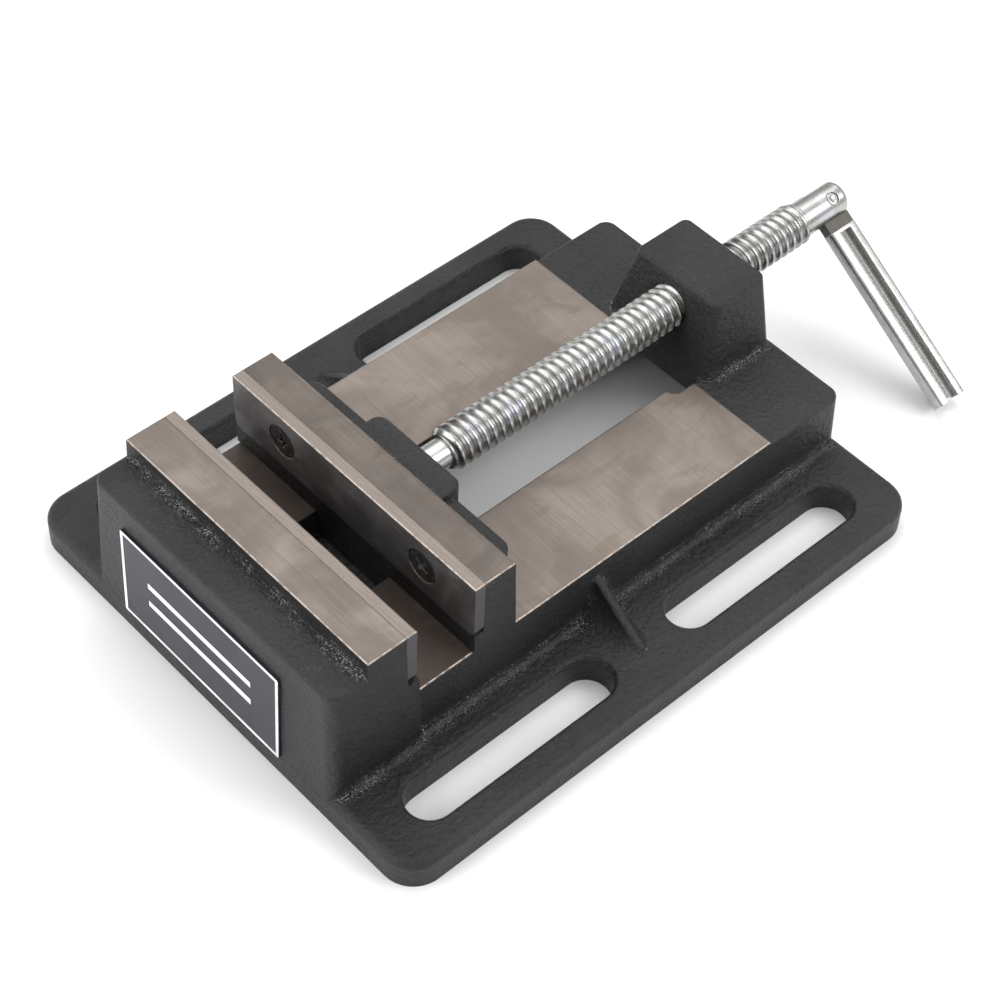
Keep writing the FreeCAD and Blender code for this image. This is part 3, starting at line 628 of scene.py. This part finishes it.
def enamel(name, tone, rough):
    """Printed enamel with a faint roller texture and light handling marks."""
    tree = Tree(name)
    rounded = tree.rounded_normal(0.15 * MM)
    haze = tree.noise(0.09, 3.0, 0.6)
    stipple = tree.noise(2.5, 2.0, 0.5)
    tint = tree.tint(tree.span(haze, 0.35, 0.7), shade_of(tone, 0.85), shade_of(tone, 1.15))
    surface = (tint, 0.0, tree.span(haze, 0.3, 0.7, rough - 0.05, rough + 0.08),
               tree.math("MULTIPLY", stipple, 0.000008))
    return tree.close(surface, rounded, specular=0.3)


# ---------------------------------------------------------------- operators

class VISE_OT_castings(bpy.types.Operator):
    """Paint the base and the moving jaw, and bare their milled faces"""
    bl_idname = "vise.castings"
    bl_label = "Castings"

    def execute(self, context):
        finishes = context.scene.vise_finishes
        bare_iron = tuple(finishes.bare_iron)
        dress("base_casting", casting("base_casting_finish", finishes, bare_on_base, bare_iron, painted_shade_on_bed))
        dress("moving_jaw", casting("moving_jaw_finish", finishes, bare_on_jaw, shade_of(bare_iron, 0.66)))
        return {"FINISHED"}


class VISE_OT_jaw_plates(bpy.types.Operator):
    """Grind the tops of the jaw plates and darken their gripping faces"""
    bl_idname = "vise.jaw_plates"
    bl_label = "Jaw Plates"

    def execute(self, context):
        steel = plate_steel(context.scene.vise_finishes)
        for node in ("fixed_jaw_plate", "moving_jaw_plate"):
            dress(node, steel)
        return {"FINISHED"}


class VISE_OT_keeper(bpy.types.Operator):
    """Blacken the keeper plate, its bolts and washers, and the retaining pins"""
    bl_idname = "vise.keeper"
    bl_label = "Keeper"

    def execute(self, context):
        steel = oxide_steel(context.scene.vise_finishes)
        dress("keeper_plate", steel)
        for node in ("keeper_bolt", "keeper_washer", "retaining_pin"):
            for side in ("left", "right"):
                dress(node + "_" + side, steel)
        return {"FINISHED"}


class VISE_OT_plate_screws(bpy.types.Operator):
    """Model one countersunk cross-head screw and copy it to the four holes of the jaw plates"""
    bl_idname = "vise.plate_screws"
    bl_label = "Plate Screws"

    RECESS_DEPTH = 0.85
    BLADE = 1.25 * MM
    BLADE_TAPER = 0.42
    TURNS = (20, 68, -12, 35)

    def recess_cutter(self, sizes):
        """Two tapered blades and a central cone, pointing into the head along +X."""
        depth = sizes.head_depth * self.RECESS_DEPTH
        cutter = None
        for turn in (0, math.pi / 2):
            deselect_all()
            bpy.ops.mesh.primitive_cube_add(size=1, location=(depth / 2 - 0.5 * MM, 0, 0),
                                            rotation=(turn, 0, 0),
                                            scale=(depth + 1.0 * MM, sizes.recess, self.BLADE))
            blade = named("recess_blade")
            pick_faces(lambda centre, normal: normal.x > 0.9)
            bpy.ops.transform.resize(value=(1, self.BLADE_TAPER, self.BLADE_TAPER),
                                     center_override=(depth, 0, 0))
            place(blade)
            cutter = blade if cutter is None else combine(cutter, blade, "UNION")
        deselect_all()
        bpy.ops.mesh.primitive_cone_add(vertices=16, radius1=0.6 * MM, radius2=self.BLADE, depth=depth,
                                        location=(depth / 2 - 0.4 * MM, 0, 0), rotation=(0, -math.pi / 2, 0))
        cone = named("recess_cone")
        return combine(cutter, place(cone), "UNION")

    def screw(self, sizes):
        """The screw along +X with the middle of its head's face at the origin."""
        rim = 0.35 * MM
        bend = 0.12 * MM
        tip = 0.7 * MM
        stations = [(0, sizes.head_radius - bend), (bend, sizes.head_radius), (rim, sizes.head_radius),
                    (sizes.head_depth, sizes.shank_radius), (sizes.length - tip, sizes.shank_radius),
                    (sizes.length, sizes.shank_radius - tip)]
        piece = turned_bar("plate_screw", stations, 48)
        return combine(piece, self.recess_cutter(sizes), "DIFFERENCE")

    def execute(self, context):
        steel = oxide_steel(context.scene.vise_finishes)
        pattern = self.screw(context.scene.vise_plate_screws)
        turns = iter(self.TURNS)
        for jaw, body, towards in (("fixed", "base", -1), ("moving", "jaw", 1)):
            for side in ("left", "right"):
                node = jaw + "_plate_screw_" + side
                low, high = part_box(node)
                face_x = high.x if towards < 0 else low.x
                centre = Vector((face_x, (low.y + high.y) / 2, (low.z + high.z) / 2))
                aim = Matrix.Rotation(math.pi, 4, "Z") if towards < 0 else Matrix.Identity(4)
                turn = Matrix.Rotation(math.radians(next(turns)), 4, "X")
                piece = pattern.copy()
                piece.data = pattern.data.copy()
                piece.name = jaw + "_" + side + "_cross_head_screw"
                context.scene.collection.objects.link(piece)
                place(piece, Matrix.Translation(centre) @ aim @ turn)
                smooth(piece, 30)
                finish_piece(piece, node, body, "screw_steel", steel)
        bpy.data.objects.remove(pattern)
        return {"FINISHED"}


class VISE_OT_lead_screw(bpy.types.Operator):
    """Wind the thread and join it to the plain neck and the slotted tail"""
    bl_idname = "vise.lead_screw"
    bl_label = "Lead Screw"

    THREAD_START = -14.3 * MM
    THREAD_END = 128.0 * MM
    GROOVE_X = -28.5 * MM
    GROOVE_WIDTH = 3.2 * MM
    GROOVE_RADIUS = 3.2 * MM
    FORK_GAP = 3.8 * MM
    FORK_FLOOR_X = 133.6 * MM
    FORK_CUT = 20 * MM
    HINGE_BORE_R = 2.15 * MM

    def thread(self, sizes):
        """One tooth's outline wound along X, then cut square at both ends."""
        crest, root = sizes.crest_radius, sizes.root_radius
        rise = crest - root
        legs = ((0.10, 0), (0.07, 0.25), (0.13, 0.55), (0.05, 0.14), (0.07, 0.06),
                (0.16, 0), (0.07, -0.06), (0.05, -0.14), (0.13, -0.55), (0.07, -0.25), (0.10, 0))
        start = self.THREAD_START - 2 * sizes.pitch
        turns = math.ceil((self.THREAD_END - self.THREAD_START) / sizes.pitch) + 4
        deselect_all()
        bpy.ops.mesh.primitive_plane_add(size=MM, location=(0, 0, AXIS_Z))
        piece = named("lead_screw_thread")
        bpy.ops.mesh.select_mode(type="VERT")
        bpy.ops.mesh.select_all(action="SELECT")
        bpy.ops.mesh.merge(type="CENTER")
        bpy.ops.mesh.select_all(action="SELECT")
        bpy.ops.transform.translate(value=(start, 0, root))
        for along, up in legs:
            step = (along * sizes.pitch, 0, up * rise)
            bpy.ops.mesh.extrude_region_move(TRANSFORM_OT_translate={"value": step})
        take(piece)
        screw = piece.modifiers.new("wind", "SCREW")
        screw.axis = "X"
        screw.screw_offset = sizes.pitch
        screw.iterations = turns
        screw.steps = screw.render_steps = sizes.steps
        screw.use_merge_vertices = True
        screw.merge_threshold = 1e-6
        bpy.ops.object.modifier_apply(modifier=screw.name)
        bpy.ops.object.mode_set(mode="EDIT")
        for x, outer in ((self.THREAD_START, False), (self.THREAD_END, True)):
            bpy.ops.mesh.select_all(action="SELECT")
            bpy.ops.mesh.bisect(plane_co=(x, 0, AXIS_Z), plane_no=(1, 0, 0), use_fill=True,
                                clear_inner=not outer, clear_outer=outer)
        place(piece)
        tidy_faces(piece)
        return piece

    def limit(self, sizes):
        """Barrel with sloping ends that gives the thread its run-outs."""
        slope = sizes.thread_run_out
        full = sizes.crest_radius + 0.02 * MM
        low = full - slope * 0.9
        stations = [(self.THREAD_START + 0.01 * MM, low), (self.THREAD_START + slope, full),
                    (self.THREAD_END - slope, full), (self.THREAD_END - 0.01 * MM, low)]
        return self.on_axis(turned_bar("thread_limit", stations, 64))

    def on_axis(self, piece):
        return place(piece, Matrix.Translation((0, 0, AXIS_Z)))

    def neck(self, sizes):
        tip = 0.8 * MM
        half = self.GROOVE_WIDTH / 2
        r = sizes.neck_radius
        stations = [(SCREW_LOW.x, r - tip), (SCREW_LOW.x + tip, r), (self.GROOVE_X - half, r),
                    (self.GROOVE_X - half, self.GROOVE_RADIUS), (self.GROOVE_X + half, self.GROOVE_RADIUS),
                    (self.GROOVE_X + half, r), (self.THREAD_START + 4 * MM, r)]
        return self.on_axis(turned_bar("neck", stations, BAR_FACETS))

    def tail(self, sizes):
        """Plain tail with a domed end."""
        end = SCREW_HIGH.x
        r = sizes.tail_radius
        bend = 2.2 * MM
        stations = [(self.THREAD_END - 4 * MM, r), (end - bend, r)]
        for i in range(1, 7):
            angle = math.pi / 2 * i / 7
            stations.append((end - bend + bend * math.sin(angle), r - bend + bend * math.cos(angle)))
        stations.append((end, (r - bend) * 0.72))
        return self.on_axis(turned_bar("tail", stations, BAR_FACETS))

    def execute(self, context):
        sizes = context.scene.vise_screw
        piece = combine(self.thread(sizes), self.limit(sizes), "INTERSECT")
        piece = combine(piece, self.neck(sizes), "UNION")
        piece = combine(piece, self.tail(sizes), "UNION")
        slot = block("fork_slot", (self.FORK_FLOOR_X - HINGE["pos_m"][0] + self.FORK_CUT / 2, 0, 0),
                     (self.FORK_CUT, self.FORK_CUT, self.FORK_GAP))
        piece = combine(piece, place(slot, hinge_frame()), "DIFFERENCE")
        bore = hinge_bore("hinge_bore", self.HINGE_BORE_R)
        piece = combine(piece, place(bore, hinge_frame()), "DIFFERENCE")
        tidy_faces(piece)
        piece.name = piece.data.name = "lead_screw_turned"
        smooth(piece, 32)
        zinc = zinc_plate("screw_zinc", context.scene.vise_finishes, thread_roots)
        finish_piece(piece, "lead_screw", "screw", "zinc_steel", zinc)
        return {"FINISHED"}


class VISE_OT_crank(bpy.types.Operator):
    """Press the channel crank with its flat tang and set the peened hinge pin"""
    bl_idname = "vise.crank"
    bl_label = "Crank"

    CHANNEL_EDGE = 0.95 * MM
    GROOVE_EDGE = 0.8 * MM
    OVERCUT = 2 * MM
    CUTTER_DEPTH = 5 * MM
    PIN_PLAY = 0.05 * MM

    def channel(self, sizes):
        long = sizes.reach - sizes.start
        centre_y = -(sizes.reach + sizes.start) / 2
        piece = open_block("crank_channel", (0, centre_y, 0), (sizes.width, long, sizes.height))
        pick_edges(lambda a, b: abs(a.y - b.y) > 0.9 * long)
        bpy.ops.mesh.bevel(offset=self.CHANNEL_EDGE, segments=5, profile=0.5, affect="EDGES")
        deselect_all()
        return piece

    def groove(self, sizes):
        """Cutter with a rounded bottom, open at the crank's free end."""
        inner = sizes.width - 2 * sizes.wall
        floor = -sizes.height / 2 + sizes.web
        near_y = -sizes.start - sizes.end_wall
        far_y = -sizes.reach - self.OVERCUT
        deep = self.CUTTER_DEPTH
        cutter = open_block("crank_groove", (0, (near_y + far_y) / 2, floor + deep / 2),
                            (inner, near_y - far_y, deep))
        pick_edges(lambda a, b: abs(a.y - b.y) > 0.5 * (near_y - far_y) and a.z < floor + MM)
        bpy.ops.mesh.bevel(offset=self.GROOVE_EDGE, segments=4, profile=0.5, affect="EDGES")
        deselect_all()
        return cutter

    def tang(self, sizes):
        half = sizes.tang_width / 2
        deselect_all()
        bpy.ops.mesh.primitive_cylinder_add(vertices=BAR_FACETS, radius=half, depth=sizes.tang_thickness)
        eye = named("crank_tang")
        place(eye)
        reach = sizes.start + sizes.end_wall
        neck = block("tang_neck", (0, -reach / 2, 0), (sizes.tang_width, reach, sizes.tang_thickness))
        return combine(eye, neck, "UNION")

    def pin(self, sizes):
        """Hinge pin with a peened, dished head at each end, along X."""
        low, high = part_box("crank_hinge_pin")
        pin_axis = Vector(HINGE["axis"])
        half = ((high.z - low.z) / 2 - sizes.pin_radius * abs(pin_axis.y)) / abs(pin_axis.z)
        r = sizes.pin_radius
        stations = [(half - 0.22 * MM, 0.45 * r), (half, 0.62 * r), (half - 0.12 * MM, 0.84 * r),
                    (half - 0.5 * MM, r)]
        stations = [(-x, radius) for x, radius in stations] + list(reversed(stations))
        return turned_bar("crank_pin_peened", stations, PIN_FACETS)

    def execute(self, context):
        sizes = context.scene.vise_crank
        finishes = context.scene.vise_finishes
        piece = combine(self.channel(sizes), self.groove(sizes), "DIFFERENCE")
        piece = combine(piece, self.tang(sizes), "UNION")
        piece = combine(piece, hinge_bore("tang_eye", sizes.pin_radius + self.PIN_PLAY), "DIFFERENCE")
        place(piece, hinge_frame())
        tidy_faces(piece)
        piece.name = piece.data.name = "crank_pressed"
        smooth(piece, 32)
        zinc = zinc_plate("crank_zinc", finishes, tang_painted_shade)
        finish_piece(piece, "crank_handle", "crank", "zinc_steel", zinc)
        pin = self.pin(sizes)
        place(pin, hinge_frame() @ UPRIGHT)
        smooth(pin, 32)
        finish_piece(pin, "crank_hinge_pin", "screw", "zinc_steel", zinc_plate("pin_zinc", finishes))
        return {"FINISHED"}


class VISE_OT_name_plate(bpy.types.Operator):
    """Stamp the thin label with a light outline and two plain bars"""
    bl_idname = "vise.name_plate"
    bl_label = "Name Plate"

    FIELD_DEPTH = 0.08 * MM
    FIELD_SLOPE = 0.05 * MM

    def blank(self, sizes):
        """Plate facing -X, with its field stamped back from the outline."""
        piece = open_block("label_plate_stamped", (0, 0, 0), (sizes.thickness, sizes.width, sizes.height))
        pick_faces(lambda centre, normal: normal.x < -0.9)
        bpy.ops.mesh.inset(thickness=sizes.border, depth=0)
        bpy.ops.mesh.inset(thickness=self.FIELD_SLOPE, depth=-self.FIELD_DEPTH)
        pick_edges(lambda a, b: abs(a.x - b.x) > 0.9 * sizes.thickness)
        bpy.ops.mesh.bevel(offset=sizes.corner, segments=4, profile=0.5, affect="EDGES")
        deselect_all()
        return piece

    def execute(self, context):
        sizes = context.scene.vise_label
        finishes = context.scene.vise_finishes
        front = -sizes.thickness / 2
        piece = self.blank(sizes)
        for side in (-1, 1):
            bar = block("label_bar", (front + sizes.thickness / 4, 0, side * sizes.bar_spread),
                        (sizes.thickness / 2, sizes.bar_length, sizes.bar_height))
            piece = combine(piece, bar, "UNION")
        light = [polygon.normal.x < -0.9 and polygon.center.x < front + self.FIELD_DEPTH / 2
                 for polygon in piece.data.polygons]
        middle = (LABEL_LOW + LABEL_HIGH) / 2
        place(piece, Matrix.Translation(middle) @ Matrix.Rotation(sizes.lean, 4, "Y"))
        smooth(piece, 30)
        finish_piece(piece, "name_plate", "base", "label_plate",
                     enamel("label_field", finishes.label_field, 0.34),
                     enamel("label_border", finishes.label_border, 0.40))
        for polygon, is_light in zip(piece.data.polygons, light):
            polygon.material_index = int(is_light)
        return {"FINISHED"}


class VISE_OT_stage(bpy.types.Operator):
    """Lay the pale floor, hang the soft lights and set the camera"""
    bl_idname = "vise.stage"
    bl_label = "Stage"

    FLOOR_SIZE = 6
    GLOW_LOW = 0.42
    GLOW_HIGH = 0.95
    LAMP_AIM = (0.0, 0.0, 0.03)
    SOFTBOXES = (
        ("overhead", (0.35, 0.45, 1.1), (1.3, 1.0), 7.2),
        ("front_left", (-1.1, 0.35, 0.55), (0.9, 0.7), 9),
        ("right_fill", (0.62, -0.86, 0.86), (0.8, 0.7), 7.5),
    )
    LENS = 89.81
    SENSOR = 36.0
    NEAR_CLIP = 0.01
    CAMERA_AT = (-0.321724, -0.338155, 0.554955)
    CAMERA_RIGHT = (0.739279, -0.672727, 0.030169)
    CAMERA_UP = (0.495988, 0.574264, 0.651323)
    CAMERA_BACK = (-0.455486, -0.466544, 0.758203)

    def softbox(self, name, at, size, power):
        lamp = bpy.data.lights.new(name, "AREA")
        lamp.shape = "RECTANGLE"
        lamp.size, lamp.size_y = size
        lamp.energy = power
        holder = bpy.data.objects.new(name, lamp)
        holder.location = at
        towards = Vector(self.LAMP_AIM) - Vector(at)
        holder.rotation_euler = towards.to_track_quat("-Z", "Y").to_euler()
        bpy.context.scene.collection.objects.link(holder)

    def floor(self, finishes):
        deselect_all()
        bpy.ops.mesh.primitive_plane_add(size=self.FLOOR_SIZE, location=(0, 0, CAD_BOX[0][2]))
        floor = bpy.context.active_object
        floor.name = "floor"
        tree = Tree("floor_pale")
        haze = tree.noise(0.004, 2.0, 0.5)
        surface = (tree.tint(haze, shade_of(finishes.floor, 0.985), finishes.floor), 0.0, 0.7, 0.0)
        floor.data.materials.append(tree.close(surface, specular=0.2))

    def execute(self, context):
        scene = context.scene
        self.floor(scene.vise_finishes)
        world = bpy.data.worlds.new("studio")
        world.use_nodes = True
        nodes, links = world.node_tree.nodes, world.node_tree.links
        background = nodes["Background"]
        direction = nodes.new("ShaderNodeTexCoord")
        height = nodes.new("ShaderNodeSeparateXYZ")
        glow = nodes.new("ShaderNodeMapRange")
        glow.interpolation_type = "SMOOTHSTEP"
        glow.inputs["To Min"].default_value = self.GLOW_LOW
        glow.inputs["To Max"].default_value = self.GLOW_HIGH
        links.new(direction.outputs["Generated"], height.inputs[0])
        links.new(height.outputs["Z"], glow.inputs["Value"])
        links.new(glow.outputs[0], background.inputs["Strength"])
        background.inputs["Color"].default_value = (1, 1, 1, 1)
        scene.world = world
        scene.view_settings.view_transform = "Standard"
        for name, at, size, power in self.SOFTBOXES:
            self.softbox(name, at, size, power)
        camera = bpy.data.cameras.new("camera")
        camera.lens = self.LENS
        camera.sensor_width = self.SENSOR
        camera.clip_start = self.NEAR_CLIP
        holder = bpy.data.objects.new("camera", camera)
        holder.matrix_world = aimed(Vector(self.CAMERA_AT), Vector(self.CAMERA_RIGHT),
                                    Vector(self.CAMERA_UP), Vector(self.CAMERA_BACK))
        scene.collection.objects.link(holder)
        scene.camera = holder
        return {"FINISHED"}


class VISE_PT_panel(bpy.types.Panel):
    """Steps that finish the vise, in order"""
    bl_idname = "VISE_PT_panel"
    bl_label = "Machine Vise"
    bl_space_type = "VIEW_3D"
    bl_region_type = "UI"
    bl_category = "Vise"

    def draw(self, context):
        for step in STEPS:
            self.layout.operator(step.bl_idname)
        for name in SETTINGS:
            settings = getattr(context.scene, name)
            box = self.layout.box()
            for field in settings.bl_rna.properties:
                if field.identifier not in ("rna_type", "name"):
                    box.prop(settings, field.identifier)


STEPS = (VISE_OT_castings, VISE_OT_jaw_plates, VISE_OT_keeper, VISE_OT_plate_screws, VISE_OT_lead_screw,
         VISE_OT_crank, VISE_OT_name_plate, VISE_OT_stage)
SETTINGS = {"vise_finishes": ViseFinishes, "vise_screw": ScrewSizes, "vise_crank": CrankSizes,
            "vise_plate_screws": PlateScrewSizes, "vise_label": LabelSizes}


def register():
    for group in SETTINGS.values():
        bpy.utils.register_class(group)
    for name, group in SETTINGS.items():
        setattr(bpy.types.Scene, name, PointerProperty(type=group))
    for step in STEPS + (VISE_PT_panel,):
        bpy.utils.register_class(step)


def unregister():
    for step in reversed(STEPS + (VISE_PT_panel,)):
        bpy.utils.unregister_class(step)
    for name, group in SETTINGS.items():
        delattr(bpy.types.Scene, name)
        bpy.utils.unregister_class(group)


def main():
    register()
    for step in STEPS:
        group, action = step.bl_idname.split(".")
        getattr(getattr(bpy.ops, group), action)()


if __name__ == "__main__":
    main()
